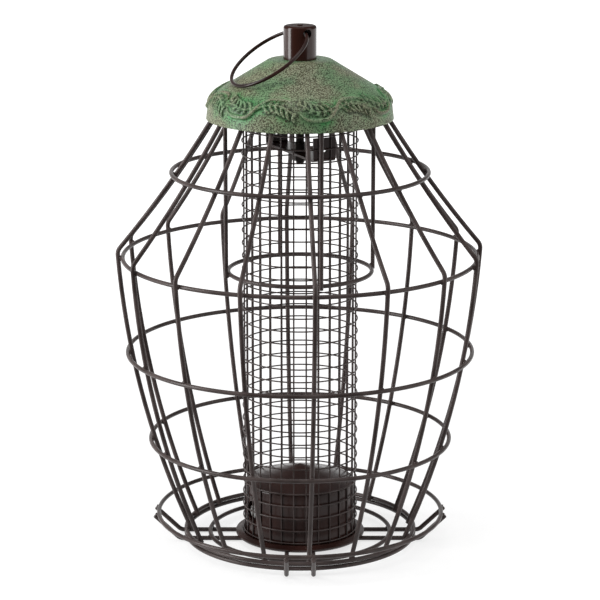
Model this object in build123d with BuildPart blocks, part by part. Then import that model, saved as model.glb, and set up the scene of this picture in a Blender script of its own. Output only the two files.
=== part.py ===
# A hanging bird feeder with a wire cage that keeps squirrels off the seed.
# A mesh tube stands on a wire tray. A bulging cage of sixteen wires stands on the same tray, a pressed
# roof lies on the cage, and a turned cap on the tube's stud holds the roof down and carries the feeder.
# Millimetres, +Z up. The origin is on the tube's axis, at the underside of the tray.
# The front of the feeder is at -Y, and bearings are counted from the front towards +X.

import os
from math import asin, atan, cos, hypot, pi, radians, sin, sqrt, tan

from build123d import *

os.makedirs("parts", exist_ok=True)

# Wire sizes and working clearances
upright_wire = 3.1        # diameter of the sixteen upright wires of the cage
cage_ring_wire = 2.9      # diameter of the cage's rings, guide ring and guide rods
tray_bar_wire = 3.1       # diameter of the four straight wires of the tray
tray_ring_wire = 2.9      # diameter of the tray's rings
mesh_wire = 0.95          # diameter of the mesh wires
weld_gap = 0.02           # hairline left between two welded wires
loose_gap = 0.3           # gap between pieces that only rest on each other
fit_gap = 0.1             # gap between pieces that are fixed face to face
pin_gap = 0.05            # radial gap of a stud or screw in its hole

# Tray
bar_pair_spacing = 18.0   # between the two wires of a pair
tray_arm_angle = 43.5     # steepness of the turned-up ends
tray_bend_radius = 6.0
tray_corner_margin = 4.2  # from the middle ring out to where the straight wires turn up
tray_perch_reach = 19.0   # from the middle ring out to the outer ring, which is the perch
tray_inner_reach = 16.6   # from the middle ring in to the inner ring
tray_tip_reach = 1.4      # how far a tip runs on past the outer ring
tray_tip_chamfer = 0.5

# Cage
upright_count = 16
front_upright_bearing = 4.5
shoulder_radius = 123.3   # widest point of an upright wire
shoulder_height = 203.8
shoulder_bend_radius = 7.0
crown_start_angle = 40.0  # of the upper part just over the bend, from the vertical
crown_sweep_radius = 740.0 # of the upper part, which flares outwards
crown_overrun = 7.9       # of the wires' upper ends over the top ring
belly_start_angle = 4.0   # of the lower part just under the bend, from the vertical
foot_radius = 75.4        # of the wires at their lower ends
shoulder_ring_drop = 2.8  # from the bend's middle down to the shoulder ring
upper_ring_share = 0.5266 # of the way from the bend's middle up to the top ring
belly_ring_share = 0.6624 # of the height of the bend's middle
lower_ring_share = 0.3597

# Guide for the tube
guide_gap = 7.7           # between the tube and the guide ring
guide_ring_height = 190.4
guide_rod_count = 4
guide_rod_overrun = 2.0   # how far a rod runs on below the guide ring

# Mesh tube
tube_outer_radius = 39.6  # over the hoops
tube_headroom = 12.9      # from the cage wires' upper ends down to the top of the tube
mesh_upright_count = 28
hoop_count = 34
first_hoop_rise = 3.6     # from the foot of the mesh to the middle of its lowest hoop
last_hoop_drop = 5.3      # from the top of the mesh to the middle of its highest hoop
band_height = 10.0
band_sheet = 0.8

# Foot of the tube
flange_overhang = 5.0     # outside the tube
flange_sheet = 1.0
flange_edge_height = 2.0  # height of the upright edge of the flange
flange_skirt_height = 3.6
cup_sheet = 0.8
cup_height = 37.5         # of the wall, over the flange plate
cup_cone_rise = 11.5
cup_rim_rounding = 1.2
port_bearing = -60.0      # of the screw pocket, front left
port_height = 20.0        # of its middle, over the flange plate
port_radius = 7.5
pocket_depth = 3.0
pocket_sheet = 0.8
pocket_lip = 1.2
pocket_screw_head_radius = 4.2
pocket_screw_head_height = 2.6
pocket_screw_shank_radius = 2.0
pocket_screw_length = 7.0
pocket_washer_radius = 5.4
pocket_washer_thickness = 0.8
screw_slot_width = 1.0
post_sheet = 1.5
post_width = 15.0
post_foot_length = 10.0

# Hanger inside the top of the tube
bridge_sheet = 1.5
bridge_width = 16.0
bridge_fields = 5         # fields of the mesh from its right side to the strap's front end
bridge_drop = 31.5        # from the top of the tube to the underside of the floor
bridge_leg_height = 16.0
bridge_bend_radius = 1.0
bridge_hole_radius = 1.6  # of the hole in each turned-up end
stud_radius = 3.0
stud_chamfer = 0.5
stud_tail = 2.0           # below the lower nut
nut_radius = 5.6          # over the corners
nut_height = 5.0

# Roof
roof_sheet = 0.9
roof_rim_reach = 6.81     # from the outside of the top ring out to the rim
roof_plateau_radius = 20.8
roof_height = 39.5        # from the rim to the plateau
roof_lip_flare = 1.75     # of the rim beyond the shoulder's corner
roof_shoulder_height = 14.5
roof_shoulder_rounding = 13.0
roof_plateau_rounding = 5.0
roof_band_relief = 0.8    # how far the leaf band stands out
roof_band_bottom = 6.5
roof_band_reach = 10.1    # from the shoulder's corner in to the upper edge of the band
roof_hole_gap = 0.5       # around the stud

# Cap and hanging ring
cap_radius = 11.1
cap_height = 22.3
cap_edge_rounding = 1.8
cap_pip_radius = 1.8
cap_pip_height = 0.5
cap_seat_gap = 0.2
cap_thread_gap = 0.3      # around the stud
cap_bore_spare = 1.0      # above the end of the stud
cap_web = 2.7             # left between the bore and the cross hole
cross_hole_gap = 0.7      # around the wire of the ring, at the tightest place
cross_hole_below_top = 4.6
cross_hole_bearing = 27.0
hanging_ring_radius = 29.0
hanging_ring_wire = 2.4
steepest_ring_lean = 90.0 # below level, which the ring can't pass
lean_halvings = 16        # how often the search for its lean halves its step
ring_check_points = 180   # points of the ring that are held clear of the roof

# Values that follow from these
upright_radius = upright_wire / 2
ring_radius = cage_ring_wire / 2
bar_radius = tray_bar_wire / 2
tray_ring_radius = tray_ring_wire / 2
mesh_radius = mesh_wire / 2
cage_weld = upright_radius + ring_radius + weld_gap
tray_weld = bar_radius + tray_ring_radius + weld_gap
half_pair = bar_pair_spacing / 2
mesh_step = 360 / mesh_upright_count
hoop_circle = tube_outer_radius - mesh_radius
mesh_circle = hoop_circle - mesh_wire
tube_inner_radius = mesh_circle - mesh_radius
bar_top = tray_bar_wire
tray_ring_height = bar_radius + tray_weld
guide_ring_radius = tube_outer_radius + guide_gap + ring_radius
flange_radius = tube_outer_radius + flange_overhang
ring_wire_radius = hanging_ring_wire / 2
# Inside the cross hole the ring bows by this much, so its middle stands off the hole's axis by half of it.
ring_bow = hanging_ring_radius - sqrt(hanging_ring_radius ** 2 - cap_radius ** 2)
cross_hole_radius = ring_wire_radius + ring_bow / 2 + cross_hole_gap
cap_bore_depth = cap_height - cross_hole_below_top - cross_hole_radius - cap_web
flange_plate_top = bar_top + flange_sheet


def bearing_direction(bearing):
    """Level direction of a bearing, as x and y."""
    angle = radians(bearing)
    return sin(angle), -cos(angle)


def radial_plane(bearing):
    """Upright plane through the axis, whose local x runs outwards along the bearing and local y up."""
    x, y = bearing_direction(bearing)
    return Plane(origin=(0, 0, 0), x_dir=(x, y, 0), z_dir=(y, -x, 0))


def save(part, name):
    """Label one finished piece and write it under its name."""
    part.label = name
    export_step(part, "parts/" + name + ".step")


def wire_hoop(radius, height, wire):
    """A closed ring of round wire around the axis."""
    with BuildPart() as hoop:
        with BuildSketch(Plane.XZ):
            with Locations((radius, height)):
                Circle(wire / 2)
        revolve(axis=Axis.Z)
    return hoop.part


# Outline of an upright wire: a flaring crown, a tight bend and one long arc down to the foot.
# Each point is a radius and a height. The crown's arc has its centre outside the cage.
crown_start = radians(crown_start_angle)
belly_start = radians(belly_start_angle)
bend_centre = (shoulder_radius - shoulder_bend_radius, shoulder_height)
bend_top = (
    bend_centre[0] + shoulder_bend_radius * cos(crown_start),
    bend_centre[1] + shoulder_bend_radius * sin(crown_start),
)
crown_centre = (
    bend_top[0] + crown_sweep_radius * cos(crown_start),
    bend_top[1] + crown_sweep_radius * sin(crown_start),
)
bend_bottom = (
    bend_centre[0] + shoulder_bend_radius * cos(belly_start),
    bend_centre[1] - shoulder_bend_radius * sin(belly_start),
)

# The cage stands on the tray's middle ring, with its bottom ring and the wire ends just above it.
cage_seat = tray_ring_height + tray_ring_radius + loose_gap
bottom_ring_height = cage_seat + ring_radius
foot_end = (foot_radius, cage_seat + upright_radius / 2)

# The long arc starts along the wire at the bend and ends at the foot, which sets its radius.
chord = (foot_end[0] - bend_bottom[0], foot_end[1] - bend_bottom[1])
inward = (-cos(belly_start), sin(belly_start))
belly_radius = hypot(*chord) ** 2 / (2 * (chord[0] * inward[0] + chord[1] * inward[1]))
belly_centre = (
    bend_bottom[0] + belly_radius * inward[0],
    bend_bottom[1] + belly_radius * inward[1],
)


def crown_radius(height, outwards):
    """Distance from the axis, in the crown, of a point this far outside the wire's middle."""
    return crown_centre[0] - sqrt((crown_sweep_radius - outwards) ** 2 - (crown_centre[1] - height) ** 2)


def belly_radius_at(height, outwards):
    """Distance from the axis, in the long lower arc, of a point this far outside the wire's middle."""
    return belly_centre[0] + sqrt((belly_radius + outwards) ** 2 - (height - belly_centre[1]) ** 2)


# The guide rods stand outside the guide ring and inside the top ring, which carries them.
rod_pitch = cage_ring_wire + weld_gap
guide_rod_circle = guide_ring_radius + rod_pitch
top_ring_radius = guide_rod_circle + rod_pitch
top_ring_reach = crown_centre[0] - top_ring_radius
top_ring_height = crown_centre[1] - sqrt((crown_sweep_radius - cage_weld) ** 2 - top_ring_reach ** 2)
crown_top_height = top_ring_height + crown_overrun
crown_end = (crown_radius(crown_top_height, 0), crown_top_height)
crown_end_lean = asin((crown_centre[1] - crown_top_height) / crown_sweep_radius)
tube_top_height = crown_top_height - tube_headroom

# The roof hangs over the top ring. Its cone lies on the wires' upper ends, on their outer corners.
roof_rim_radius = top_ring_radius + ring_radius + roof_rim_reach
roof_shoulder_radius = roof_rim_radius - roof_lip_flare
roof_band_top_radius = roof_shoulder_radius - roof_band_reach
cone_rise = roof_height - roof_shoulder_height
roof_slope = atan(cone_rise / (roof_shoulder_radius - roof_plateau_radius))
seat_radius = crown_end[0] + upright_radius * cos(crown_end_lean)
seat_height = (
    crown_end[1] + upright_radius * sin(crown_end_lean) + (loose_gap + roof_sheet) / cos(roof_slope)
)
seat_drop = (seat_radius - roof_plateau_radius) * tan(roof_slope)
roof_rim_height = seat_height + seat_drop - roof_height
plateau_height = roof_rim_height + roof_height
cap_foot = plateau_height + cap_seat_gap
cross_hole_height = cap_foot + cap_height - cross_hole_below_top

# Tray rings: the middle one lies straight under the bottom ring of the cage.
bottom_ring_radius = belly_radius_at(bottom_ring_height, cage_weld)
tray_outer_radius = bottom_ring_radius + tray_perch_reach
tray_inner_radius = bottom_ring_radius - tray_inner_reach

# Tray wires: two pairs that cross under the tube. Where they cross, each keeps half its thickness.
tray_corner_radius = bottom_ring_radius + tray_corner_margin
arm = radians(tray_arm_angle)
ring_crossing = sqrt(tray_outer_radius ** 2 - half_pair ** 2)
arm_rise = (ring_crossing - tray_corner_radius) * tan(arm)
tray_outer_height = bar_radius + arm_rise + tray_weld / cos(arm)
tip_reach = ring_crossing + tray_weld * sin(arm) + tray_tip_reach * cos(arm)
tip_height = bar_radius + (tip_reach - tray_corner_radius) * tan(arm)


def tray_bar(plane, keeps_top):
    """One straight wire with turned-up ends, halved where the other pair crosses it."""
    with BuildPart() as bar:
        with BuildLine(plane) as route:
            FilletPolyline(
                (-tip_reach, tip_height),
                (-tray_corner_radius, bar_radius),
                (tray_corner_radius, bar_radius),
                (tip_reach, tip_height),
                radius=tray_bend_radius,
            )
        with BuildSketch(Plane(origin=route.line @ 0, z_dir=route.line % 0)):
            Circle(bar_radius)
        sweep()
        chamfer(bar.edges().filter_by(GeomType.CIRCLE).sort_by(Axis.Z)[-2:], tray_tip_chamfer)
        side = Align.MAX if keeps_top else Align.MIN
        with BuildSketch(plane):
            with Locations((-half_pair, bar_radius), (half_pair, bar_radius)):
                Rectangle(tray_bar_wire, bar_radius, align=(Align.CENTER, side))
        extrude(amount=bar_radius, both=True, mode=Mode.SUBTRACT)
    return bar.part


save(tray_bar(Plane.XZ.offset(half_pair), True), "tray_cross_bar_front")
save(tray_bar(Plane.XZ.offset(-half_pair), True), "tray_cross_bar_back")
save(tray_bar(Plane.YZ.offset(-half_pair), False), "tray_long_bar_left")
save(tray_bar(Plane.YZ.offset(half_pair), False), "tray_long_bar_right")

# The tray's outer ring lies on the turned-up ends, the others on the flat of the wires.
save(wire_hoop(tray_outer_radius, tray_outer_height, tray_ring_wire), "tray_outer_ring")
save(wire_hoop(bottom_ring_radius, tray_ring_height, tray_ring_wire), "tray_middle_ring")
save(wire_hoop(tray_inner_radius, tray_ring_height, tray_ring_wire), "tray_inner_ring")

# Cage: sixteen upright wires.
for number in range(upright_count):
    wire_plane = radial_plane(front_upright_bearing + number * 360 / upright_count)
    with BuildPart() as upright:
        with BuildLine(wire_plane) as route:
            TangentArc(bend_top, crown_end, tangent=(-sin(crown_start), cos(crown_start)))
            ThreePointArc(bend_top, (shoulder_radius, shoulder_height), bend_bottom)
            TangentArc(bend_bottom, foot_end, tangent=(-sin(belly_start), -cos(belly_start)))
        with BuildSketch(Plane(origin=route.wires()[0] @ 0, z_dir=route.wires()[0] % 0)):
            Circle(upright_radius)
        sweep()
    save(upright.part, "cage_upright_" + str(number + 1).zfill(2))

# Cage rings: the shoulder ring is welded inside, just under the bend, the others outside the wires.
upper_ring_height = shoulder_height + upper_ring_share * (top_ring_height - shoulder_height)
shoulder_ring_height = shoulder_height - shoulder_ring_drop
belly_ring_height = belly_ring_share * shoulder_height
lower_ring_height = lower_ring_share * shoulder_height
upper_ring_radius = crown_radius(upper_ring_height, cage_weld)
shoulder_ring_radius = belly_radius_at(shoulder_ring_height, -cage_weld)
belly_ring_radius = belly_radius_at(belly_ring_height, cage_weld)
lower_ring_radius = belly_radius_at(lower_ring_height, cage_weld)
save(wire_hoop(top_ring_radius, top_ring_height, cage_ring_wire), "cage_top_ring")
save(wire_hoop(upper_ring_radius, upper_ring_height, cage_ring_wire), "cage_upper_ring")
save(wire_hoop(shoulder_ring_radius, shoulder_ring_height, cage_ring_wire), "cage_shoulder_ring")
save(wire_hoop(belly_ring_radius, belly_ring_height, cage_ring_wire), "cage_belly_ring")
save(wire_hoop(lower_ring_radius, lower_ring_height, cage_ring_wire), "cage_lower_ring")
save(wire_hoop(bottom_ring_radius, bottom_ring_height, cage_ring_wire), "cage_bottom_ring")

# Guide: a ring around the tube, hung from the top ring on four rods halfway between two uprights.
save(wire_hoop(guide_ring_radius, guide_ring_height, cage_ring_wire), "guide_ring")
rod_bottom = guide_ring_height - guide_rod_overrun
rod_top = top_ring_height + ring_radius
for number in range(guide_rod_count):
    rod_bearing = front_upright_bearing + 180 / upright_count + number * 360 / guide_rod_count
    x, y = bearing_direction(rod_bearing)
    with BuildPart() as rod:
        with BuildSketch(Plane.XY.offset(rod_bottom)):
            with Locations((x * guide_rod_circle, y * guide_rod_circle)):
                Circle(ring_radius)
        extrude(amount=rod_top - rod_bottom)
    save(rod.part, "guide_rod_" + str(number + 1))

# Flange: a pressed saucer on the tray wires, whose skirt closes in around the foot of the mesh.
skirt_mouth = tube_outer_radius + loose_gap
edge_top = bar_top + flange_edge_height
skirt_top = bar_top + flange_skirt_height
with BuildPart() as flange:
    with BuildSketch(Plane.XZ):
        with BuildLine():
            Polyline(
                (0, bar_top),
                (flange_radius - flange_sheet, bar_top),
                (flange_radius, bar_top + flange_sheet),
                (flange_radius, edge_top),
                (skirt_mouth + flange_sheet, skirt_top),
                (skirt_mouth, skirt_top),
                (flange_radius - flange_sheet, edge_top),
                (flange_radius - flange_sheet, flange_plate_top),
                (0, flange_plate_top),
                close=True,
            )
        make_face()
    revolve(axis=Axis.Z)
save(flange.part, "tube_flange")

# Cup: the closed foot of the seed space, a drum with a low cone on top that sheds the seed outwards.
cup_radius = tube_inner_radius - fit_gap
cup_foot = flange_plate_top
cup_rim = cup_foot + cup_height
port_x, port_y = bearing_direction(port_bearing)
port_plane = Plane(
    origin=(0, 0, cup_foot + port_height),
    x_dir=(-port_y, port_x, 0),
    z_dir=(port_x, port_y, 0),
)
with BuildPart() as cup:
    with BuildSketch(Plane.XZ):
        with BuildLine():
            Polyline(
                (0, cup_foot),
                (cup_radius, cup_foot),
                (cup_radius, cup_rim),
                (0, cup_rim + cup_cone_rise),
                close=True,
            )
        make_face()
    revolve(axis=Axis.Z)
    fillet(cup.edges().filter_by(GeomType.CIRCLE).sort_by(Axis.Z)[-1], cup_rim_rounding)
    with BuildSketch(Plane.XZ):
        with BuildLine():
            Polyline(
                (0, cup_foot),
                (cup_radius - cup_sheet, cup_foot),
                (cup_radius - cup_sheet, cup_rim - cup_sheet),
                (0, cup_rim + cup_cone_rise - cup_sheet),
                close=True,
            )
        make_face()
    revolve(axis=Axis.Z, mode=Mode.SUBTRACT)
    with BuildSketch(port_plane):
        Circle(port_radius)
    extrude(amount=cup_radius + cup_sheet, mode=Mode.SUBTRACT)
save(cup.part, "tube_cup")

# Pocket: a pan behind the round port in the cup, with the screw that ties the cup to its inner post.
pocket_face = sqrt((cup_radius - cup_sheet) ** 2 - (port_radius + pocket_lip) ** 2) - pin_gap
pocket_back = pocket_face - pocket_depth
with BuildPart() as pocket:
    with BuildSketch(port_plane.offset(pocket_back)):
        Circle(port_radius + pocket_sheet)
    extrude(amount=pocket_depth)
    with BuildSketch(port_plane.offset(pocket_face - pocket_sheet)):
        Circle(port_radius + pocket_lip)
    extrude(amount=pocket_sheet)
    with BuildSketch(port_plane.offset(pocket_back + pocket_sheet)):
        Circle(port_radius)
    extrude(amount=pocket_depth, mode=Mode.SUBTRACT)
    with BuildSketch(port_plane.offset(pocket_back)):
        Circle(pocket_screw_shank_radius + pin_gap)
    extrude(amount=pocket_depth, mode=Mode.SUBTRACT)
save(pocket.part, "screw_pocket")

washer_seat = pocket_back + pocket_sheet
head_seat = washer_seat + pocket_washer_thickness
with BuildPart() as washer:
    with BuildSketch(port_plane.offset(washer_seat)):
        Circle(pocket_washer_radius)
        Circle(pocket_screw_shank_radius + pin_gap, mode=Mode.SUBTRACT)
    extrude(amount=pocket_washer_thickness)
save(washer.part, "pocket_washer")

screw_tail = head_seat - pocket_screw_length
with BuildPart() as screw:
    with BuildSketch(port_plane.offset(head_seat)):
        Circle(pocket_screw_head_radius)
    extrude(amount=pocket_screw_head_height)
    with BuildSketch(port_plane.offset(screw_tail)):
        Circle(pocket_screw_shank_radius)
    extrude(amount=pocket_screw_length)
    with BuildSketch(port_plane.offset(head_seat + pocket_screw_head_height / 2)):
        Rectangle(screw_slot_width, pocket_screw_head_radius * 2)
    extrude(amount=pocket_screw_head_height, mode=Mode.SUBTRACT)
save(screw.part, "pocket_screw")

# Post: an angle on the flange plate inside the cup, which takes the end of the pocket screw.
post_front = pocket_back - fit_gap
post_back = post_front - post_sheet
post_top = cup_foot + port_height + port_radius
with BuildPart() as post:
    with BuildSketch(radial_plane(port_bearing)):
        with BuildLine():
            Polyline(
                (post_front, cup_foot),
                (post_front, post_top),
                (post_back, post_top),
                (post_back, cup_foot + post_sheet),
                (post_front - post_foot_length, cup_foot + post_sheet),
                (post_front - post_foot_length, cup_foot),
                close=True,
            )
        make_face()
    extrude(amount=post_width / 2, both=True)
    with BuildSketch(port_plane.offset(post_back)):
        Circle(pocket_screw_shank_radius + pin_gap)
    extrude(amount=post_sheet, mode=Mode.SUBTRACT)
save(post.part, "screw_post")

# Mesh tube: upright wires inside, hoops outside, as one welded mesh.
mesh_foot = flange_plate_top + fit_gap
mesh_height = tube_top_height - mesh_foot
with BuildPart() as mesh_uprights:
    with BuildSketch(Plane.XY.offset(mesh_foot)):
        with PolarLocations(mesh_circle, mesh_upright_count, start_angle=mesh_step / 2):
            Circle(mesh_radius)
    extrude(amount=mesh_height)
save(mesh_uprights.part, "tube_mesh_uprights")

hoop_pitch = (mesh_height - first_hoop_rise - last_hoop_drop) / (hoop_count - 1)
lower_hoop_count = hoop_count // 2
hoop_halves = {
    "tube_mesh_lower_hoops": range(lower_hoop_count),
    "tube_mesh_upper_hoops": range(lower_hoop_count, hoop_count),
}
for half_name, hoop_numbers in hoop_halves.items():
    with BuildPart() as mesh_hoops:
        with BuildSketch(Plane.XZ):
            for number in hoop_numbers:
                hoop_height = mesh_foot + first_hoop_rise + number * hoop_pitch
                with Locations((hoop_circle + weld_gap, hoop_height)):
                    Circle(mesh_radius)
        revolve(axis=Axis.Z)
    save(mesh_hoops.part, half_name)

# Band: a sheet ring inside the mouth of the mesh, which keeps it round.
band_radius = tube_inner_radius - pin_gap
with BuildPart() as band:
    with BuildSketch(Plane.XY.offset(tube_top_height - band_height)):
        Circle(band_radius)
        Circle(band_radius - band_sheet, mode=Mode.SUBTRACT)
    extrude(amount=band_height)
save(band.part, "tube_top_band")

# Bridge: a strap across the tube that holds the stud. Each end is turned up and welded to two mesh wires.
bridge_bearing = 90 - bridge_fields * mesh_step
bridge_plane = radial_plane(bridge_bearing)
bridge_reach = mesh_circle * cos(radians(mesh_step / 2)) - mesh_radius - weld_gap
bridge_floor = tube_top_height - bridge_drop
bridge_floor_top = bridge_floor + bridge_sheet
bridge_leg_top = bridge_floor + bridge_leg_height
with BuildPart() as bridge:
    with BuildSketch(bridge_plane):
        with BuildLine():
            outer = FilletPolyline(
                (-bridge_reach, bridge_leg_top),
                (-bridge_reach, bridge_floor),
                (bridge_reach, bridge_floor),
                (bridge_reach, bridge_leg_top),
                radius=bridge_sheet + bridge_bend_radius,
            )
            inner = FilletPolyline(
                (-bridge_reach + bridge_sheet, bridge_leg_top),
                (-bridge_reach + bridge_sheet, bridge_floor_top),
                (bridge_reach - bridge_sheet, bridge_floor_top),
                (bridge_reach - bridge_sheet, bridge_leg_top),
                radius=bridge_bend_radius,
            )
            Line(outer @ 0, inner @ 0)
            Line(outer @ 1, inner @ 1)
        make_face()
    extrude(amount=bridge_width / 2, both=True)
    with BuildSketch(Plane.XY.offset(bridge_floor)):
        Circle(stud_radius + pin_gap)
    extrude(amount=bridge_sheet, mode=Mode.SUBTRACT)
    across = Plane(origin=bridge_plane.from_local_coords((0, 0, 0)), x_dir=(0, 0, 1), z_dir=bridge_plane.x_dir)
    with BuildSketch(across):
        with Locations(((bridge_floor + bridge_leg_top) / 2, 0)):
            Circle(bridge_hole_radius)
    extrude(amount=tube_outer_radius, both=True, mode=Mode.SUBTRACT)
save(bridge.part, "hanger_bridge")

# Stud: the threaded rod that carries the feeder, from the strap up through the roof into the cap.
stud_top = cap_foot + cap_bore_depth - cap_bore_spare
stud_bottom = bridge_floor - nut_height - stud_tail
with BuildPart() as stud:
    with BuildSketch(Plane.XY.offset(stud_bottom)):
        Circle(stud_radius)
    extrude(amount=stud_top - stud_bottom)
    chamfer(stud.edges().filter_by(GeomType.CIRCLE), stud_chamfer)
save(stud.part, "hanger_stud")

# Nuts: one under and one over the floor of the strap.
with BuildPart() as nuts:
    for nut_foot in (bridge_floor - nut_height, bridge_floor_top):
        with BuildSketch(Plane.XY.offset(nut_foot)):
            RegularPolygon(nut_radius, 6)
            Circle(stud_radius + pin_gap, mode=Mode.SUBTRACT)
        extrude(amount=nut_height)
save(nuts.part, "stud_nuts")

# Roof: a pressed sheet cone with a flat top, a round shoulder with a raised band, and a flared lip.
lip_lean = atan((roof_rim_radius - roof_shoulder_radius) / roof_shoulder_height)


def shoulder_corner(outwards):
    """Corner of cone and lip, above the rim, for an outline moved outwards by this much."""
    along = outwards * tan((radians(90) - roof_slope - lip_lean) / 2)
    radius = roof_shoulder_radius + outwards * cos(lip_lean) - along * sin(lip_lean)
    height = roof_shoulder_height + outwards * sin(lip_lean) + along * cos(lip_lean)
    return radius, height


def roof_outline(outwards):
    """Half outline of the roof down to its rim, moved outwards by this much, with a round shoulder."""
    corner = shoulder_corner(outwards)
    top = roof_height + min(outwards, 0)
    top_radius = corner[0] - (top - corner[1]) / tan(roof_slope)
    with BuildSketch(Plane.XZ) as outline:
        with BuildLine():
            Polyline(
                (0, roof_rim_height),
                (roof_rim_radius + outwards / cos(lip_lean), roof_rim_height),
                (corner[0], roof_rim_height + corner[1]),
                (top_radius, roof_rim_height + top),
                (0, roof_rim_height + top),
                close=True,
            )
        make_face()
        shoulder = outline.vertices().sort_by(Axis.X)[-2]
        fillet(shoulder, roof_shoulder_rounding + outwards)
        plateau_edge = outline.vertices().group_by(Axis.Y)[-1].sort_by(Axis.X)[-1]
        fillet(plateau_edge, roof_plateau_rounding + min(outwards, 0))
    return outline.sketch


band_inset = roof_rim_radius + roof_band_relief * 2 - roof_band_top_radius
with BuildPart() as roof:
    with BuildSketch(Plane.XZ):
        add(roof_outline(roof_band_relief))
        with Locations((roof_band_top_radius, roof_rim_height + roof_band_bottom)):
            corner_align = (Align.MIN, Align.MIN)
            Rectangle(band_inset, roof_height, align=corner_align, mode=Mode.INTERSECT)
    revolve(axis=Axis.Z)
    with BuildSketch(Plane.XZ):
        add(roof_outline(0))
    revolve(axis=Axis.Z)
    with BuildSketch(Plane.XZ):
        add(roof_outline(-roof_sheet))
    revolve(axis=Axis.Z, mode=Mode.SUBTRACT)
    with BuildSketch(Plane.XY.offset(plateau_height)):
        Circle(stud_radius + roof_hole_gap)
    extrude(amount=-roof_sheet, mode=Mode.SUBTRACT)
save(roof.part, "roof")

# Cap: a turned nut for the stud, with a cross hole for the hanging ring.
cap_top = cap_foot + cap_height
hole_x, hole_y = bearing_direction(cross_hole_bearing)
hole_plane = Plane(
    origin=(0, 0, cross_hole_height),
    x_dir=(-hole_y, hole_x, 0),
    z_dir=(hole_x, hole_y, 0),
)
with BuildPart() as cap:
    with BuildSketch(Plane.XY.offset(cap_foot)):
        Circle(cap_radius)
    extrude(amount=cap_height)
    fillet(cap.edges().filter_by(GeomType.CIRCLE).sort_by(Axis.Z)[-1], cap_edge_rounding)
    with BuildSketch(Plane.XY.offset(cap_top)):
        Circle(cap_pip_radius)
    extrude(amount=cap_pip_height)
    with BuildSketch(Plane.XY.offset(cap_foot)):
        Circle(stud_radius + cap_thread_gap)
    extrude(amount=cap_bore_depth, mode=Mode.SUBTRACT)
    with BuildSketch(hole_plane):
        Circle(cross_hole_radius)
    extrude(amount=cap_radius, both=True, mode=Mode.SUBTRACT)
save(cap.part, "cap")

# Hanging ring: it runs through the cap's cross hole and leans on the roof.


def roof_top(radius):
    """Height of the roof's outer face at a radius, taken without its roundings."""
    cone = plateau_height - (radius - roof_plateau_radius) * tan(roof_slope)
    return min(cone, plateau_height)


def ring_point(lean, turn):
    """Point on the middle of the ring's wire, as its distance from the axis and its height."""
    along = hanging_ring_radius * cos(turn)
    out = hanging_ring_radius * (1 + sin(turn)) - ring_bow / 2
    level = out * cos(lean)
    return hypot(along, level), cross_hole_height - out * sin(lean)


def ring_clearance(lean):
    """Least clearance between the ring's wire and the roof's slope, taken square to the slope."""
    gaps = []
    for step in range(ring_check_points):
        radius, height = ring_point(lean, step * 2 * pi / ring_check_points)
        slope = roof_slope if radius > roof_plateau_radius else 0
        gaps.append((height - roof_top(radius)) * cos(slope) - ring_wire_radius)
    return min(gaps)


# The lean grows in halving steps until the ring is the loose gap from the roof.
ring_lean = 0.0
lean_step = radians(steepest_ring_lean)
for halving in range(lean_halvings):
    lean_step = lean_step / 2
    if ring_clearance(ring_lean + lean_step) > loose_gap:
        ring_lean += lean_step

# The ring leans to the left of the cross hole's bearing.
hole_line = Vector(hole_x, hole_y, 0)
ring_out = Vector(hole_y * cos(ring_lean), -hole_x * cos(ring_lean), -sin(ring_lean))
ring_centre = Vector(0, 0, cross_hole_height) + ring_out * (hanging_ring_radius - ring_bow / 2)
with BuildPart() as hanging_ring:
    with BuildSketch(Plane(ring_centre + hole_line * hanging_ring_radius, hole_line, ring_out)):
        Circle(ring_wire_radius)
    revolve(axis=Axis(ring_centre, hole_line.cross(ring_out)))
save(hanging_ring.part, "hanging_ring")

print("cage width", round(shoulder_radius * 2 + upright_wire, 1))
print("height to the cap's top", round(cap_top, 1))
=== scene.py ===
# %% [markdown]
# This lesson dresses a caged bird feeder. Its wires, rings, tube and cap come in as exact metal parts, each
# in its place, in metres, with the front towards -Y and up along +Z. What is left to do here is the pressed
# roof with its leaf scroll, the weld beads, the thread of the stud, every finish, and the studio with its
# camera.

# %% Load the parts
from math import asin, atan2, cos, hypot, pi, radians, sin, sqrt, tan

import bpy
import numpy as np
from mathutils import Matrix, Vector


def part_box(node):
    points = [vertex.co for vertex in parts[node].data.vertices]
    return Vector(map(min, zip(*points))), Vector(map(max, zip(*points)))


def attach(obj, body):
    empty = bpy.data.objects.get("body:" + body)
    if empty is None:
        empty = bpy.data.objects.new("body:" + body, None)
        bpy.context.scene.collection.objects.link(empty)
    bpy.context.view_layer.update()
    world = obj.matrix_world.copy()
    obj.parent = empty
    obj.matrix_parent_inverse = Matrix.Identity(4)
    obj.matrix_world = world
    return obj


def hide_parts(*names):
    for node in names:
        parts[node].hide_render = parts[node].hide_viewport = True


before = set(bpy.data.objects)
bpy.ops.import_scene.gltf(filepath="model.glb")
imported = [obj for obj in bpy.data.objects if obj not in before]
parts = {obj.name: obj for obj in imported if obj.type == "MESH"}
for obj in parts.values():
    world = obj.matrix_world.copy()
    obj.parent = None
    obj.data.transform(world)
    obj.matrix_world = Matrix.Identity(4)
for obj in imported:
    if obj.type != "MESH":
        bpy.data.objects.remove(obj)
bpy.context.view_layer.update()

mm = 0.001


# %% [markdown]
# The camera comes first, because every later choice is judged through it. It looks down on the feeder by
# 14 degrees from a good arm's length, through a long lens, so the rings show as slim ellipses. Height, tilt
# and lens were found by fitting the ellipses of ten rings.

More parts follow.
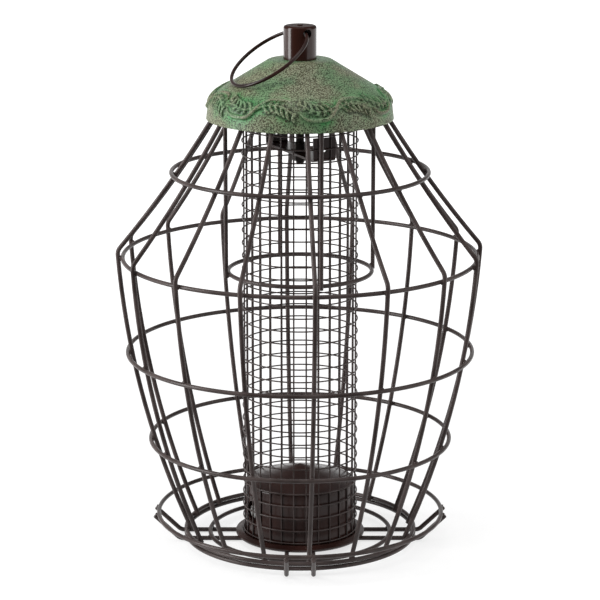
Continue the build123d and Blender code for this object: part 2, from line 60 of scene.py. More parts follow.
# %% Camera
camera_distance = 1.660
camera_height = 0.5831
camera_tilt = 13.99
camera_lens = 150.6
camera = bpy.data.objects.new("camera", bpy.data.cameras.new("camera"))
bpy.context.collection.objects.link(camera)
camera.location = (0, -camera_distance, camera_height)
camera.rotation_euler = (radians(90 - camera_tilt), 0, 0)
camera.data.lens = camera_lens
bpy.context.scene.camera = camera
print("lens", camera_lens, "mm")

# %% [markdown]
# Finishes are built from shader nodes. Wiring nodes one by one hides the idea, so a small class lets a
# finish be written like a sum: a Reading is one number or colour that changes over the surface, and adding
# or multiplying readings adds the Math nodes that do it.

# %% Readings
class Reading:
    """A number or colour of a recipe that changes over the surface."""

    def __init__(self, recipe, socket):
        self.recipe = recipe
        self.socket = socket

    def maths(self, operation, first, second):
        return self.recipe.node("ShaderNodeMath", {"operation": operation}, {0: first, 1: second}, 0)

    def __add__(self, other):
        return self.maths("ADD", self, other)

    def __radd__(self, other):
        return self.maths("ADD", other, self)

    def __sub__(self, other):
        return self.maths("SUBTRACT", self, other)

    def __rsub__(self, other):
        return self.maths("SUBTRACT", other, self)

    def __mul__(self, other):
        return self.maths("MULTIPLY", self, other)

    def __rmul__(self, other):
        return self.maths("MULTIPLY", other, self)

    def step(self, low, high):
        """0 below low, 1 above high, and a smooth rise between."""
        settings = {"interpolation_type": "SMOOTHSTEP"}
        limits = {"Value": self, "From Min": low, "From Max": high}
        return self.recipe.node("ShaderNodeMapRange", settings, limits, 0)


print("readings can be added, taken away and multiplied")

# %% [markdown]
# A Recipe is a tree of nodes, of a material or of the world's light, and a Finish is the recipe of one
# material. All patterns are laid out in the parts' own coordinates, in metres, so a grain of 1 mm is 1 mm on
# every piece.

# %% Recipes and finishes
screen_gamma = 2.2


class Recipe:
    """A tree of shader nodes."""

    def __init__(self, tree):
        self.tree = tree

    def node(self, kind, settings, inputs, output):
        """Adds one node: its settings first, then the values or readings of its sockets."""
        made = self.tree.nodes.new(kind)
        for setting, value in settings.items():
            setattr(made, setting, value)
        for socket, value in inputs.items():
            self.feed(made.inputs[socket], value)
        return Reading(self, made.outputs[output])

    def feed(self, socket, value):
        """Links a reading to a socket, or sets the socket to a plain value."""
        if isinstance(value, Reading):
            self.tree.links.new(value.socket, socket)
        else:
            socket.default_value = value

    def ray(self, kind):
        """1 for rays of this kind, such as Is Camera Ray, and 0 for all others."""
        return self.node("ShaderNodeLightPath", {}, {}, kind)


class Finish(Recipe):
    """One material."""

    def __init__(self, name):
        self.material = bpy.data.materials.new(name)
        self.material.use_nodes = True
        super().__init__(self.material.node_tree)
        self.shader = self.tree.nodes["Principled BSDF"]
        self.place = self.node("ShaderNodeTexCoord", {}, {}, "Object")

    def clouds(self, size, detail=2.0, offset=0.0):
        """Noise with patches of about this size, around 0.5."""
        shift = {"Vector": self.place, "Location": (offset, offset, offset)}
        moved = self.node("ShaderNodeMapping", {}, shift, 0)
        return self.node("ShaderNodeTexNoise", {}, {"Vector": moved, "Scale": 1 / size, "Detail": detail}, 0)

    def cells(self, size):
        """Distance to the nearest of scattered points this far apart, as a share of that."""
        return self.node("ShaderNodeTexVoronoi", {}, {"Vector": self.place, "Scale": 1 / size}, 0)

    def stored(self, name):
        """A number that the mesh carries at each vertex."""
        return self.node("ShaderNodeAttribute", {"attribute_name": name}, {}, "Fac")

    def mix(self, share, first, second):
        """The first colour where share is 0 and the second where it is 1."""
        settings = {"data_type": "RGBA", "clamp_factor": True}
        return self.node("ShaderNodeMix", settings, {0: share, 6: first, 7: second}, 2)

    def bump(self, height, depth):
        """Fine relief of this depth in metres, for the Normal socket."""
        return self.node("ShaderNodeBump", {}, {"Height": height, "Distance": depth, "Strength": 1.0}, 0)

    def surface(self, **sockets):
        """Feeds the shader's sockets, named with _ for each space."""
        for name, value in sockets.items():
            self.feed(self.shader.inputs[name.replace("_", " ")], value)


def seen(red, green, blue):
    """A colour as it is read off a screen, 0 to 255, turned into the light that a shader works with."""
    return tuple((value / 255) ** screen_gamma for value in (red, green, blue)) + (1.0,)


print("finishes can be written as sums")

# %% [markdown]
# The wires are powder coated: a dark brown paint, melted on, with a soft gloss and the faint orange peel
# that melted powder leaves. Real coats aren't even. They drift a little in shade, and where they are handled
# they carry fine pale scuffs, which are duller. The same recipe serves the wires, the sheet parts and the
# cap, so it is a function. The cap is the glossiest, except at the edge of its top, where fingers rub it.

# %% Powder coat
drift_size = 22 * mm
peel_size = 1.1 * mm
peel_depth = 0.05 * mm
scuff_size = 2.6 * mm
handled_size = 15 * mm
scuff_colour = seen(120, 106, 98)
rubbed_fade = 1 * mm
out_of_reach = 1.0


def powder_coat(name, dark, light, dull, sheen, gloss, rubbed_above=out_of_reach):
    """Brown melted powder between two shades: its base roughness, its sheen, and a share of clear gloss.

    Above the height rubbed_above, in metres, the gloss is rubbed off.
    """
    coat = Finish(name)
    drift = coat.clouds(drift_size, detail=3.0).step(0.35, 0.65)
    handled = coat.clouds(handled_size, offset=7.0).step(0.5, 0.62)
    scuffs = coat.clouds(scuff_size, detail=6.0, offset=3.0).step(0.66, 0.76) * handled
    height = coat.node("ShaderNodeSeparateXYZ", {}, {0: coat.place}, "Z")
    rubbed = height.step(rubbed_above, rubbed_above + rubbed_fade)
    shade = coat.mix(drift, seen(*dark), seen(*light))
    coat.surface(
        Base_Color=coat.mix(scuffs * 0.35, shade, scuff_colour),
        Roughness=dull + (drift - 0.5) * 0.08 + scuffs * 0.2 + rubbed * 0.3,
        Specular_IOR_Level=sheen,
        Coat_Weight=gloss * (1 - rubbed * 0.9),
        Coat_Roughness=0.14,
        Normal=coat.bump(coat.clouds(peel_size), peel_depth),
    )
    return coat


wire_coat = powder_coat(
    "dark_brown_wire_coat", dark=(62, 53, 51), light=(82, 72, 70), dull=0.42, sheen=0.2, gloss=0.2
)
sheet_coat = powder_coat(
    "dark_brown_sheet_coat", dark=(42, 26, 23), light=(54, 34, 30), dull=0.33, sheen=0.2, gloss=0.3
)
cap_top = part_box("cap")[1][2]
cap_edge = 1.8 * mm
cap_coat = powder_coat(
    "dark_brown_cap_coat", dark=(44, 22, 17), light=(54, 30, 24), dull=0.28, sheen=0.08, gloss=0.8,
    rubbed_above=cap_top - cap_edge,
)
print("three powder coats")

# %% [markdown]
# The screw in the foot is bright steel, turned on a lathe and then plated. The post behind it is zinc
# plated, which is duller, with the pale crystal patches called spangle. The stud and its nuts are blackened
# in hot oil, which leaves a dark, slightly uneven skin.

# %% Three kinds of steel
steel_grain_depth = 0.02 * mm
bright_steel = Finish("bright_steel")
brushing = bright_steel.clouds(0.5 * mm, detail=4.0)
bright_steel.surface(
    Base_Color=bright_steel.mix(brushing, seen(176, 176, 174), seen(220, 220, 218)),
    Metallic=1.0,
    Roughness=0.22 + brushing * 0.16,
    Normal=bright_steel.bump(brushing, steel_grain_depth),
)
zinc = Finish("zinc_plate")
spangle = zinc.cells(3.5 * mm).step(0.2, 0.8)
tarnish = zinc.clouds(9 * mm, detail=4.0).step(0.4, 0.7)
zinc.surface(
    Base_Color=zinc.mix(spangle * 0.6 + tarnish * 0.4, seen(150, 150, 148), seen(104, 102, 98)),
    Metallic=0.9,
    Roughness=0.35 + spangle * 0.1 + tarnish * 0.15,
    Normal=zinc.bump(zinc.clouds(0.8 * mm, detail=3.0), steel_grain_depth),
)
blackened = Finish("blackened_steel")
oil_skin = blackened.clouds(4 * mm, detail=4.0).step(0.35, 0.7)
blackened.surface(
    Base_Color=blackened.mix(oil_skin, seen(48, 44, 42), seen(74, 69, 66)),
    Metallic=0.7,
    Roughness=0.38 + oil_skin * 0.15,
    Normal=blackened.bump(blackened.clouds(0.6 * mm, detail=3.0), steel_grain_depth),
)
print("three kinds of steel")

# %% [markdown]
# Each part now gets the finish of its real piece. The parts' names say what they are, so the finish can be
# chosen by name. The plain roof and the plain stud get theirs too, but modelled ones take their place below.

# %% Finishes for the parts
for name, part in parts.items():
    if name.startswith(("cage_", "guide_", "tray_", "tube_mesh")):
        finish = wire_coat
    elif name == "cap":
        finish = cap_coat
    elif name in ("pocket_screw", "pocket_washer"):
        finish = bright_steel
    elif name in ("hanger_stud", "stud_nuts"):
        finish = blackened
    elif name == "screw_post":
        finish = zinc
    else:
        finish = sheet_coat
    for material_slot in part.material_slots:
        material_slot.material = finish.material
print(len(parts), "parts have a finish")

# %% [markdown]
# The roof is one pressed sheet: a flared lip, a round shoulder, a straight cone and a flat top with a hole
# for the stud. A potter would turn it, and so does this lesson: this cell works out the outline, and a later
# one walks along it. Its corners are rounded by arcs, as the press tool's are.

# %% Outline of the roof
roof_low, roof_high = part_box("roof")
rim_height = roof_low[2]
rim_radius = 62.85 * mm
shoulder_corner = (61.1 * mm, 14.5 * mm)
shoulder_rounding = 13 * mm
shoulder_arc_steps = 24
plateau_corner = (20.8 * mm, roof_high[2] - rim_height)
plateau_rounding = 5 * mm
plateau_arc_steps = 6
hole_radius = 3.5 * mm
sheet = 0.9 * mm


def rounded_corner(before, corner, after, rounding, steps):
    """Points of the arc that rounds a corner of an outline, given as radius and height."""
    arrive = (Vector(corner) - Vector(before)).normalized()
    leave = (Vector(after) - Vector(corner)).normalized()
    turn = arrive.angle(leave)
    start = Vector(corner) - arrive * rounding * tan(turn / 2)
    centre = start + Vector((-arrive.y, arrive.x)) * rounding
    spokes = [start - centre for step in range(steps + 1)]
    for step, spoke in enumerate(spokes):
        spoke.rotate(Matrix.Rotation(turn * step / steps, 2))
    return [centre + spoke for spoke in spokes]


def roof_path(inwards):
    """Outline from rim to hole, moved into the sheet by this much."""
    lean = atan2(rim_radius - shoulder_corner[0], shoulder_corner[1])
    slope = atan2(plateau_corner[1] - shoulder_corner[1], shoulder_corner[0] - plateau_corner[0])
    slip = inwards * tan((pi / 2 - slope - lean) / 2)
    shoulder = (
        shoulder_corner[0] - inwards * cos(lean) + slip * sin(lean),
        shoulder_corner[1] - inwards * sin(lean) - slip * cos(lean),
    )
    top = plateau_corner[1] - inwards
    plateau = (shoulder[0] - (top - shoulder[1]) / tan(slope), top)
    rim = (rim_radius - inwards / cos(lean), 0)
    hole = (hole_radius, top)
    path = [Vector(rim)]
    path += rounded_corner(rim, shoulder, plateau, shoulder_rounding - inwards, shoulder_arc_steps)
    path += rounded_corner(shoulder, plateau, hole, plateau_rounding - inwards, plateau_arc_steps)
    path.append(Vector(hole))
    return path


def path_length(path):
    return sum((end - start).length for start, end in zip(path, path[1:]))


outer_path = roof_path(0)
inner_path = roof_path(sheet)
outer_length = path_length(outer_path)
inner_length = path_length(inner_path)
print("outline of", round(outer_length / mm, 1), "mm outside and", round(inner_length / mm, 1), "mm inside")

# %% [markdown]
# A running scroll is one of the oldest ornaments: a wavy stem whose every bend holds a leaf that curls back
# into it. It is laid out flat first, as the die cutter would, with one distance along the rim and one up
# the slope. Everything is made of strokes: round-backed ridges that run from one point to another and may
# taper. The stem is a row of short strokes along a wave, with a break where the wave falls.

# %% Stem of the leaf scroll
scroll_repeats = 7
scroll_radius = 58.8 * mm
repeat = 2 * pi * scroll_radius / scroll_repeats
stem_middle = 16 * mm
stem_swing = 7.6 * mm
stem_half_width = 1.5 * mm
stem_start = -0.71 * repeat
stem_end = 0.2 * repeat
stem_strokes = 36
taper_strokes = 5
thinnest = 0.3
squareness = 0.12


def stem_point(along):
    """Place of the stem, this far along the rim from a crest, measured from its middle line."""
    angle = 2 * pi * along / repeat
    wave = (cos(angle) - squareness * cos(3 * angle)) / (1 - squareness)
    return Vector((along, stem_swing * wave))


stem_marks = []
for count in range(stem_strokes + 1):
    along = stem_start + (stem_end - stem_start) * count / stem_strokes
    from_end = min(count, stem_strokes - count)
    fullness = min(1.0, thinnest + (1 - thinnest) * from_end / taper_strokes)
    stem_marks.append((stem_point(along), stem_half_width * fullness))
stem = [(start, end, wide, narrow) for (start, wide), (end, narrow) in zip(stem_marks, stem_marks[1:])]
print(len(stem), "strokes in a repeat of the stem")

# %% [markdown]
# A leaf is a curved rib with leaflets on both sides, long ones on its hollow side and short ones towards the
# stem. Each leaflet is two strokes that meet at a knee, so it curls, and it swells to the knee and thins to
# its tip.

# %% Leaves of the scroll
rib_start = stem_point(-0.3 * repeat)
rib_pull = Vector((-0.04 * repeat, 1.15 * stem_swing))
rib_end = Vector((0.23 * repeat, -0.6 * stem_swing))
rib_strokes = 12
rib_half_width = 0.85 * mm
leaflets_per_side = 6
first_leaflet = 0.24
last_leaflet = 0.96
leaflet_half_width = 1.25 * mm
leaflet_foot = 0.6
leaflet_tip = 0.4
leaflet_knee = 0.6
leaflet_spread = 78
leaflet_closing = 30
leaflet_curl = radians(24)
long_leaflet = 8.2 * mm
short_leaflet = 3.0 * mm
leaf_roundness = 1.7
look_ahead = 0.01


def rib_point(share):
    """Point of the smooth curve of the rib, which is drawn towards its pull."""
    return rib_start * (1 - share) ** 2 + rib_pull * 2 * share * (1 - share) + rib_end * share ** 2


def leaf_strokes():
    """Rib and leaflets of the leaf that hangs in a crest of the stem, as start, end and half widths."""
    rib = [rib_point(count / rib_strokes) for count in range(rib_strokes + 1)]
    strokes = [(first, second, rib_half_width, rib_half_width) for first, second in zip(rib, rib[1:])]
    for number in range(leaflets_per_side):
        share = first_leaflet + (last_leaflet - first_leaflet) * number / (leaflets_per_side - 1)
        foot = rib_point(share)
        onwards = (rib_point(share + look_ahead) - foot).normalized()
        fullness = 1 - leaf_roundness * (share - 0.5) ** 2
        for side, longest in ((-1, long_leaflet), (1, short_leaflet)):
            aim = onwards.copy()
            aim.rotate(Matrix.Rotation(side * radians(leaflet_spread - leaflet_closing * share), 2))
            knee = foot + aim * longest * fullness * leaflet_knee
            aim.rotate(Matrix.Rotation(-side * leaflet_curl, 2))
            tip = knee + aim * longest * fullness * (1 - leaflet_knee)
            strokes.append((foot, knee, leaflet_half_width * leaflet_foot, leaflet_half_width))
            strokes.append((knee, tip, leaflet_half_width, leaflet_half_width * leaflet_tip))
    return strokes


leaf = leaf_strokes()
# The second leaf sits in a trough: it is turned by half a turn about the point where the falling stem
# crosses its middle line.
half_repeat = Vector((repeat / 2, 0))
turned_leaf = [
    (half_repeat - first, half_repeat - second, wide, narrow)
    for first, second, wide, narrow in leaf
]
print(len(leaf), "strokes in a leaf")

# %% [markdown]
# The shell is drawn up row by row. A ring of edges is added at the rim, and each extrude and resize carries
# it to the next point of the outline. Rows lie close together where the leaves will be and further apart
# on the plain cone.

# %% Draw up the outside of the roof
roof_around = 900
leaf_row = 0.52 * mm
leaf_row_count = 56
cone_row = 1.9 * mm
top_row = 1.25 * mm
top_row_count = 7
top_length = 25 * mm
cone_end = outer_length - top_length
leaf_rows = [step * leaf_row for step in range(leaf_row_count)]
cone_row_count = int((cone_end - leaf_rows[-1]) / cone_row)
cone_rows = [leaf_rows[-1] + step * cone_row for step in range(1, cone_row_count + 1)]
top_rows = [cone_end + step * top_row for step in range(top_row_count)]
rows = leaf_rows + cone_rows + top_rows + [outer_length]


def walk(path, distances):
    """Points on an outline at each of these distances from its start."""
    found = []
    for distance in distances:
        left = distance
        for start, end in zip(path, path[1:]):
            length = (end - start).length
            if left <= length or end is path[-1]:
                found.append(start + (end - start) * min(left / length, 1.0))
                break
            left -= length
    return found


def leave_everything():
    """Nothing selected, in object mode, as every new piece starts."""
    if bpy.context.object and bpy.context.object.mode != "OBJECT":
        bpy.ops.object.mode_set(mode="OBJECT")
    bpy.ops.object.select_all(action="DESELECT")


def draw_up(points):
    """Carries the selected ring of edges from the first point of an outline through all the others."""
    for before, after in zip(points, points[1:]):
        rise = after.y - before.y
        bpy.ops.mesh.extrude_region_move(TRANSFORM_OT_translate={"value": (0, 0, rise)})
        spread = after.x / before.x
        bpy.ops.transform.resize(value=(spread, spread, 1), center_override=(0, 0, 0))


def drawn_piece(name, points, around, start_height, bottom):
    """A new piece: a ring of edges at the first point of an outline, drawn up through the others."""
    leave_everything()
    bpy.ops.mesh.primitive_circle_add(
        vertices=around, radius=points[0].x, fill_type=bottom, location=(0, 0, start_height)
    )
    piece = bpy.context.object
    piece.name = name
    bpy.ops.object.transform_apply(location=True, rotation=False, scale=False)
    bpy.ops.object.mode_set(mode="EDIT")
    bpy.ops.mesh.select_all(action="SELECT")
    draw_up(points)
    bpy.ops.object.mode_set(mode="OBJECT")
    return piece


outside = walk(outer_path, rows)
roof = drawn_piece("pressed_roof", outside, roof_around, rim_height, "NOTHING")
print(len(outside), "rows of", roof_around, "vertices")

# %% [markdown]
# Now the die is cut. Every vertex gets its place in the flat drawing, and for each the strokes say how high
# the metal will stand there, as a share of the full height, and how far off the nearest ridge is.

# %% Cut the die
scroll_turn = radians(15)
leaf_height = 0.85
far_off = 1.0
places = np.empty(len(roof.data.vertices) * 3)
roof.data.vertices.foreach_get("co", places)
places = places.reshape(-1, 3)
row_of_vertex = np.arange(len(places)) // roof_around
up_slope = np.array(rows)[row_of_vertex] - stem_middle
bearing = np.arctan2(places[:, 0], -places[:, 1]) + scroll_turn
along_rim = (bearing * scroll_radius + repeat / 2) % repeat - repeat / 2


def stroke_lift(strokes):
    """For every vertex: the lift of the highest stroke over it, and the gap to the nearest one."""
    lift = np.zeros(len(places))
    gap = np.full(len(places), far_off)
    for shift in (-repeat, 0, repeat):
        for first, second, wide, narrow in strokes:
            run = second - first
            ahead = along_rim + shift - first.x
            aside = up_slope - first.y
            share = np.clip((ahead * run.x + aside * run.y) / run.length_squared, 0, 1)
            away = np.hypot(ahead - share * run.x, aside - share * run.y)
            half_width = wide + (narrow - wide) * share
            lift = np.maximum(lift, 1 - (away / half_width) ** 2)
            gap = np.minimum(gap, away - half_width)
    return lift, gap


stem_lift, stem_gap = stroke_lift(stem)
leaf_lift, leaf_gap = stroke_lift(leaf + turned_leaf)
standing = np.maximum(np.sqrt(stem_lift), leaf_height * np.sqrt(leaf_lift))
print("share of the roof that stands out", round(float((standing > 0.1).mean()), 3))

# %% [markdown]
# Three more numbers are kept on the vertices for the paint: how worn they are, how near they are to the
# ornament, and how deep they lie in the corner beside a ridge, where the paint is darkened as painted
# shade. The last two fade with the distance from the ridge.

# %% Numbers for the paint
hollow_fade = 2.6 * mm
leaf_corner_fade = 1.1 * mm
stem_corner_fade = 0.6 * mm
stem_corner_depth = 0.7
ridge_clearing = 1.4
leaf_wear = 0.7
wear_gain = 1.5
wear_start = 0.6
nearest = np.clip(np.minimum(stem_gap, leaf_gap), 0, 1)
hollow = np.exp(-nearest / hollow_fade) * (1 - standing)
beside_leaf = np.exp(-np.clip(leaf_gap, 0, 1) / leaf_corner_fade)
beside_stem = np.exp(-np.clip(stem_gap, 0, 1) / stem_corner_fade)
# The corner number is painted shade: it darkens the paint beside each ridge, less beside the stem, and not
# on the ridges.
corner = np.maximum(beside_leaf, stem_corner_depth * beside_stem)
corner = corner * np.clip(1 - standing * ridge_clearing, 0, 1)
worn = np.clip(np.maximum(stem_lift, leaf_wear * leaf_lift) * wear_gain - wear_start, 0, 1)
for name, numbers in (("worn", worn), ("hollow", hollow), ("corner", corner)):
    kept = roof.data.attributes.new(name, "FLOAT", "POINT")
    kept.data.foreach_set("value", numbers.astype(np.float32))
    print(name, "is", round(float(numbers.mean()), 3), "on average")

# %% [markdown]
# Now the die comes down. The share by which each vertex stands out goes into a vertex group, and a Displace
# modifier raises the metal by it.

# %% Raise the metal
press_depth = 1.5 * mm
flat = 0.01


def face_outwards():
    """Turns the faces of the active piece outwards."""
    bpy.ops.object.mode_set(mode="EDIT")
    bpy.ops.mesh.select_all(action="SELECT")
    bpy.ops.mesh.normals_make_consistent(inside=False)
    bpy.ops.object.mode_set(mode="OBJECT")


def raise_by(piece, group, depth):
    """Moves each vertex of the active piece outwards by this depth times its share in a vertex group."""
    lift = piece.modifiers.new("lift", "DISPLACE")
    lift.direction = "NORMAL"
    lift.mid_level = 0.0
    lift.strength = depth
    lift.vertex_group = group
    bpy.ops.object.modifier_apply(modifier="lift")


scroll = roof.vertex_groups.new(name="scroll")
for vertex in np.flatnonzero(standing > flat):
    scroll.add([int(vertex)], float(standing[vertex]), "REPLACE")
face_outwards()
raise_by(roof, "scroll", press_depth)
print("roof reaches", round(max(vertex.co.x for vertex in roof.data.vertices) / mm, 2), "mm from its axis")

# %% [markdown]
# So far the roof is a skin. Its hole is drawn down by the thickness of the sheet and then out along the
# inner outline to the rim, where the last row meets the first. After the doubled vertices are merged the
# shell is closed, and its faces can be told to look outwards.

# %% Close the shell inside
inner_row_count = 14
doubled = 0.001 * mm
roof_crease = radians(50)
bpy.ops.object.mode_set(mode="EDIT")
bpy.ops.mesh.select_mode(type="VERT")
bpy.ops.mesh.select_all(action="DESELECT")
bpy.ops.object.mode_set(mode="OBJECT")
for vertex in roof.data.vertices[-roof_around:]:
    vertex.select = True
bpy.ops.object.mode_set(mode="EDIT")
inner_rows = [inner_length * step / inner_row_count for step in range(inner_row_count, -1, -1)]
draw_up([outside[-1]] + walk(inner_path, inner_rows) + [outside[0]])
bpy.ops.mesh.select_all(action="SELECT")
bpy.ops.mesh.remove_doubles(threshold=doubled)
face_outwards()
bpy.ops.object.shade_smooth_by_angle(angle=roof_crease)
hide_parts("roof")
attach(roof, "roof")
print("roof has", len(roof.data.polygons), "faces")

# %% [markdown]
# Verdigris is the green skin of old copper. Here it is paint that imitates it: green brushed over a dark
# ground, so that the ground shows through as a fine crackle, and darkened as painted shade in the corners
# beside the ridges.
# The green lies thick and bright in the hollows, it is thin and brownish in large patches, and a brown wash
# lies over the ridges in places. The three numbers on the vertices say where all that is.

# %% Verdigris paint
verdigris = Finish("verdigris_paint")
on_ridge = verdigris.stored("worn")
in_hollow = verdigris.stored("hollow")
painted_corner_shade = verdigris.stored("corner")
crackle = verdigris.clouds(0.95 * mm)
fine_crackle = verdigris.clouds(0.5 * mm, detail=1.0, offset=5.0)
patches = verdigris.clouds(24 * mm, detail=3.0, offset=2.0).step(0.38, 0.62)
thick_patches = verdigris.clouds(17 * mm, offset=9.0).step(0.42, 0.62)
brown_wash = verdigris.clouds(19 * mm, offset=4.0).step(0.44, 0.58)
thickness = in_hollow * 0.05 + on_ridge * 0.04 - patches * 0.03
bare_and_shaded_share = (crackle * 0.65 + fine_crackle * 0.35 - thickness).step(0.455, 0.575)
# Painted shade: in the corners beside the ridges the dark ground shows fully.
bare_and_shaded_share = bare_and_shaded_share + (1 - bare_and_shaded_share) * painted_corner_shade
green = verdigris.mix(patches, seen(114, 148, 106), seen(148, 154, 124))
green = verdigris.mix(in_hollow * (0.3 + 0.9 * thick_patches), green, seen(66, 162, 86))
green = verdigris.mix(on_ridge * 0.5, green, seen(140, 160, 124))
green = verdigris.mix(on_ridge * brown_wash * 0.75, green, seen(122, 108, 88))
ground = verdigris.mix(patches, seen(36, 56, 30), seen(64, 62, 38))
# Painted shade: the ground is darker still in the corners beside the ridges.
ground = verdigris.mix(painted_corner_shade, ground, seen(34, 36, 24))
verdigris.surface(
    Base_Color=verdigris.mix(bare_and_shaded_share, green, ground),
    Roughness=0.5 + bare_and_shaded_share * 0.12,
    Coat_Weight=0.15,
    Coat_Roughness=0.3,
    Normal=verdigris.bump(fine_crackle * 0.4 - bare_and_shaded_share * 0.6, 0.1 * mm),
)
roof.data.materials.append(verdigris.material)
print("roof is painted")

# %% [markdown]
# The stud is a threaded rod. Its turns are cut the same way as the leaves were pressed: the rod is drawn up
# in fine rows, every vertex gets a share that climbs around the rod with the thread's pitch, and a Displace
# modifier sinks it by that share.

# %% Thread of the stud
thread_pitch = 1 * mm
thread_depth = 0.5 * mm
thread_rows_per_turn = 5
thread_crease = radians(40)
end_chamfer = 0.5 * mm
rod_around = 24
rod_low, rod_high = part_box("hanger_stud")
rod_radius = rod_high[0]
chamfer_radius = rod_radius - end_chamfer
thread_start = rod_low[2] + end_chamfer
thread_length = rod_high[2] - rod_low[2] - 2 * end_chamfer
row_count = round(thread_length / thread_pitch * thread_rows_per_turn)
rod_path = [Vector((chamfer_radius, rod_low[2]))]
for step in range(row_count + 1):
    rod_path.append(Vector((rod_radius, thread_start + thread_length * step / row_count)))
rod_path.append(Vector((chamfer_radius, rod_high[2])))
rod = drawn_piece("threaded_stud", rod_path, rod_around, rod_low[2], "NGON")
face_outwards()
groove = rod.vertex_groups.new(name="groove")
for vertex in rod.data.vertices:
    turns = vertex.co.z / thread_pitch - atan2(vertex.co.y, vertex.co.x) / (2 * pi)
    depth_share = abs(2 * (turns % 1) - 1)
    if hypot(vertex.co.x, vertex.co.y) > rod_radius - end_chamfer / 2:
        groove.add([vertex.index], depth_share, "REPLACE")
raise_by(rod, "groove", -thread_depth)
bpy.ops.object.shade_smooth_by_angle(angle=thread_crease)
rod.data.materials.append(blackened.material)
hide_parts("hanger_stud")
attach(rod, "tray_and_tube")
print("stud has", round(thread_length / thread_pitch), "turns of thread")

# %% [markdown]
# Where two wires cross they are spot welded: they melt together for an instant and a little metal squeezes
# out around the joint. The coat covers it, which leaves a soft swelling in each corner of the crossing. One
# bead is shaped from a ball, then copied to each joint and turned so that it lies flat between the wires.

# %% One weld bead
bead_reach = 2.0 * mm
bead_thickness = 1.05 * mm
leave_everything()
bpy.ops.mesh.primitive_ico_sphere_add(subdivisions=2, radius=1.0, location=(0, 0, 0))
bead = bpy.context.object
bpy.ops.object.mode_set(mode="EDIT")
bpy.ops.mesh.select_all(action="SELECT")
bpy.ops.transform.resize(value=(bead_reach, bead_reach, bead_thickness), center_override=(0, 0, 0))
bpy.ops.object.mode_set(mode="OBJECT")
bpy.ops.object.shade_smooth()


def set_beads(name, body, joints):
    """A bead at each joint, given as its point and the direction from wire to wire, as one piece."""
    leave_everything()
    for point, direction in joints:
        copy = bpy.data.objects.new(name, bead.data.copy())
        bpy.context.collection.objects.link(copy)
        turn = direction.to_track_quat("Z", "Y").to_matrix().to_4x4()
        copy.data.transform(Matrix.Translation(point) @ turn)
        copy.select_set(True)
        bpy.context.view_layer.objects.active = copy
    bpy.ops.object.join()
    piece = bpy.context.object
    piece.data.materials.clear()
    piece.data.materials.append(wire_coat.material)
    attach(piece, body)
    print(name, "has", len(joints), "beads")


print("one bead of", len(bead.data.polygons), "faces")

# %% [markdown]
# The rings' boxes say how wide and how high they lie, and their thickness is the box's height. The cage's
# wires pass inside all rings but the one at the shoulder, and lean with the cage's two long arcs, so each
# ring is given the lean of the wires there.

# %% Weld beads of the cage
crown_sweep = 740 * mm
crown_middle_height = 684 * mm
belly_sweep = 598.5 * mm
belly_middle_height = 245.1 * mm
uprights = 16
first_upright = 4.5
guide_rods = 4
first_guide_rod = 15.75


def ring_of(name):
    """Radius of a level ring's middle line, its height, and its wire's half thickness."""
    low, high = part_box(name)
    half_wire = (high[2] - low[2]) / 2
    return high[0] - half_wire, low[2] + half_wire, half_wire


def out_at(bearing_degrees):
    """The level direction at a bearing, counted from the front to the right."""
    return Vector((sin(radians(bearing_degrees)), -cos(radians(bearing_degrees)), 0))


def around_axis(first, count):
    """Level directions to this many wires, evenly spread from a first bearing."""
    return [out_at(first + 360 / count * number) for number in range(count)]


def joint_outside(name, outwards):
    """Joint of a level ring with a wire that runs outside it."""
    radius, height, half_wire = ring_of(name)
    return outwards * (radius + half_wire) + Vector((0, 0, height)), outwards


ring_leans = {}
for name in ("cage_top_ring", "cage_upper_ring"):
    ring_leans[name] = asin((crown_middle_height - ring_of(name)[1]) / crown_sweep)
for name in ("cage_belly_ring", "cage_lower_ring", "cage_bottom_ring"):
    ring_leans[name] = asin((ring_of(name)[1] - belly_middle_height) / belly_sweep)
cage_joints = []
for outwards in around_axis(first_upright, uprights):
    for name, lean in ring_leans.items():
        radius, height, half_wire = ring_of(name)
        across = outwards * cos(lean) + Vector((0, 0, sin(lean)))
        cage_joints.append((outwards * radius + Vector((0, 0, height)) - across * half_wire, across))
    cage_joints.append(joint_outside("cage_shoulder_ring", outwards))
for outwards in around_axis(first_guide_rod, guide_rods):
    cage_joints.append(joint_outside("guide_ring", outwards))
set_beads("cage_weld_beads", "cage", cage_joints)

# %% [markdown]
# The tray's inner and middle rings lie on the straight wires, and its outer ring lies in the angle of their
# turned-up ends. Each of the four wires meets each ring twice.

# %% Weld beads of the tray
bar_offset = 9 * mm
arm_angle = radians(43.5)
tray_joints = []
for name in ("tray_inner_ring", "tray_middle_ring", "tray_outer_ring"):
    radius, height, half_wire = ring_of(name)
    reach = sqrt(radius ** 2 - bar_offset ** 2)
    lean = arm_angle if name == "tray_outer_ring" else 0.0
    for quarter in range(4):
        turn = Matrix.Rotation(quarter * pi / 2, 3, "Z")
        across = turn @ Vector((-sin(lean), 0, cos(lean)))
        for side in (-bar_offset, bar_offset):
            point = turn @ Vector((reach, side, height))
            tray_joints.append((point - across * half_wire, across))
set_beads("tray_weld_beads", "tray_and_tube", tray_joints)
bpy.data.objects.remove(bead)

# %% [markdown]
# The studio is a white table that runs far back. Its front edge is close to the feeder, so that upright
# faces mirror the dark room before it. The table is a plain matt sheet, but it also glows, only for the
# camera, in reflections and through glass, so that it reads as white paper and still keeps the feeder's
# shadow. Away from the feeder it glows fully, and runs into the white behind it. Its place goes into its
# mesh, so that distances on it count from the feeder.

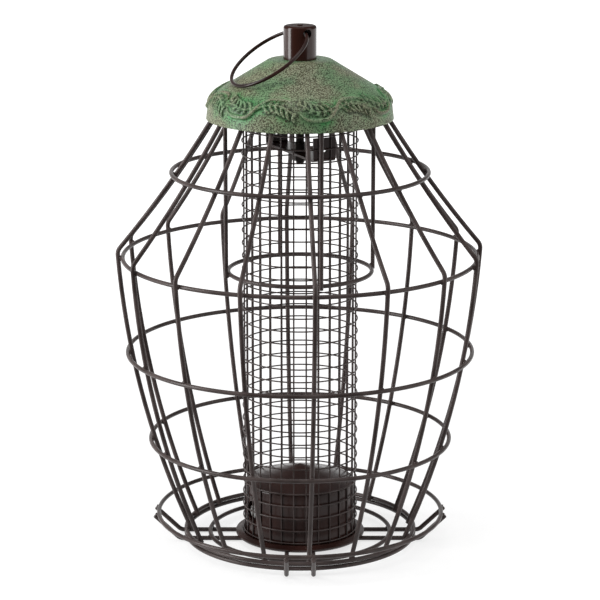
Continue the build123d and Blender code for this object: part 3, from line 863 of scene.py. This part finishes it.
# %% Table
table_size = 10
table_front = -0.16
table_drop = 0.5 * mm
glow_at_feeder = 0.7
glow_rise_start = 0.3
glow_rise_end = 1.2
white = (1, 1, 1, 1)
leave_everything()
table_middle = table_front + table_size / 2
bpy.ops.mesh.primitive_plane_add(size=table_size, location=(0, table_middle, -table_drop))
floor = bpy.context.object
floor.name = "studio_table"
bpy.ops.object.transform_apply(location=True, rotation=False, scale=False)
paper = Finish("white_paper")
paper.surface(Base_Color=seen(160, 160, 160), Roughness=0.9, Specular_IOR_Level=0.0)
rays = paper.ray("Is Camera Ray") + paper.ray("Is Glossy Ray") + paper.ray("Is Transmission Ray")
distance = paper.node("ShaderNodeVectorMath", {"operation": "LENGTH"}, {0: paper.place}, "Value")
glow_rise = distance.step(glow_rise_start, glow_rise_end) * (1 - glow_at_feeder)
glow_level = rays * (glow_at_feeder + glow_rise)
glow = paper.node("ShaderNodeEmission", {}, {"Color": white, "Strength": glow_level}, 0)
both = paper.node("ShaderNodeAddShader", {}, {0: glow, 1: Reading(paper, paper.shader.outputs[0])}, 0)
paper.feed(paper.tree.nodes["Material Output"].inputs["Surface"], both)
floor.data.materials.append(paper.material)
print("table of", table_size, "m")

# %% [markdown]
# Light comes from all round, as in a photographer's tent, except from the front left, where the camera and
# the dim room are: that is why the middle of the cap looks almost black. The world makes this tent. For the
# camera and through glass it is plain white paper. Glossy surfaces see that white only straight behind the
# feeder, with grey sides and an almost black room. Dull surfaces get an even light, and less from the room.

# %% Tent light
tent_level = 0.8
glossy_side_level = 0.2
glossy_room_level = 0.06
dull_room_level = 0.3
room_bearing = -14
world = bpy.data.worlds.new("tent")
bpy.context.scene.world = world
world.use_nodes = True
tent = Recipe(world.node_tree)
looking = tent.node("ShaderNodeTexCoord", {}, {}, "Generated")


def facing(direction):
    """How far a ray looks this way: 1 straight along it, 0 across it."""
    multiply = {"operation": "DOT_PRODUCT"}
    return tent.node("ShaderNodeVectorMath", multiply, {0: looking, 1: direction}, "Value")


in_gloss = tent.ray("Is Glossy Ray")
through_glass = tent.ray("Is Transmission Ray")
to_camera = tent.ray("Is Camera Ray")
behind = facing((0, 1, 0)).step(0.8, 1.0)
gloss_level = glossy_side_level + behind * (1 - glossy_side_level)
sides = tent_level + in_gloss * (gloss_level - tent_level) + through_glass * (1 - tent_level)
room = facing(out_at(room_bearing)).step(0.35, 0.7)
room_level = dull_room_level - in_gloss * (dull_room_level - glossy_room_level)
light = sides - room * (sides - room_level)
background = tent.tree.nodes["Background"]
tent.feed(background.inputs["Strength"], light + to_camera * (1 - light))
tent.feed(background.inputs["Color"], white)
print("tent at", tent_level, "of white")

# %% [markdown]
# Three soft lamps stand in the tent. A narrow one at the left draws the pale streak down the cap, a wide dim
# one at the right gives the cap its grey side, and one overhead lights the roof and the tops of the rings.

# %% Lamps
lamp_aim = Vector((0, 0, 0.2))


def soft_lamp(name, bearing_degrees, distance, height, width, length, radiance):
    """A rectangular lamp on a bearing from the feeder, turned towards its middle."""
    lamp = bpy.data.objects.new(name, bpy.data.lights.new(name, "AREA"))
    bpy.context.collection.objects.link(lamp)
    lamp.data.shape = "RECTANGLE"
    lamp.data.size = width
    lamp.data.size_y = length
    lamp.data.energy = radiance * pi * width * length
    lamp.location = out_at(bearing_degrees) * distance + Vector((0, 0, height))
    lamp.rotation_euler = (lamp_aim - lamp.location).to_track_quat("-Z", "Y").to_euler()


soft_lamp("left_lamp", -78, distance=1.5, height=0.6, width=0.6, length=1.6, radiance=8.0)
soft_lamp("right_lamp", 68, distance=1.5, height=0.6, width=1.0, length=1.6, radiance=0.9)
soft_lamp("top_lamp", 0, distance=0.1, height=1.8, width=0.9, length=0.9, radiance=2.0)
bpy.context.scene.view_settings.view_transform = "Standard"
print("three lamps")
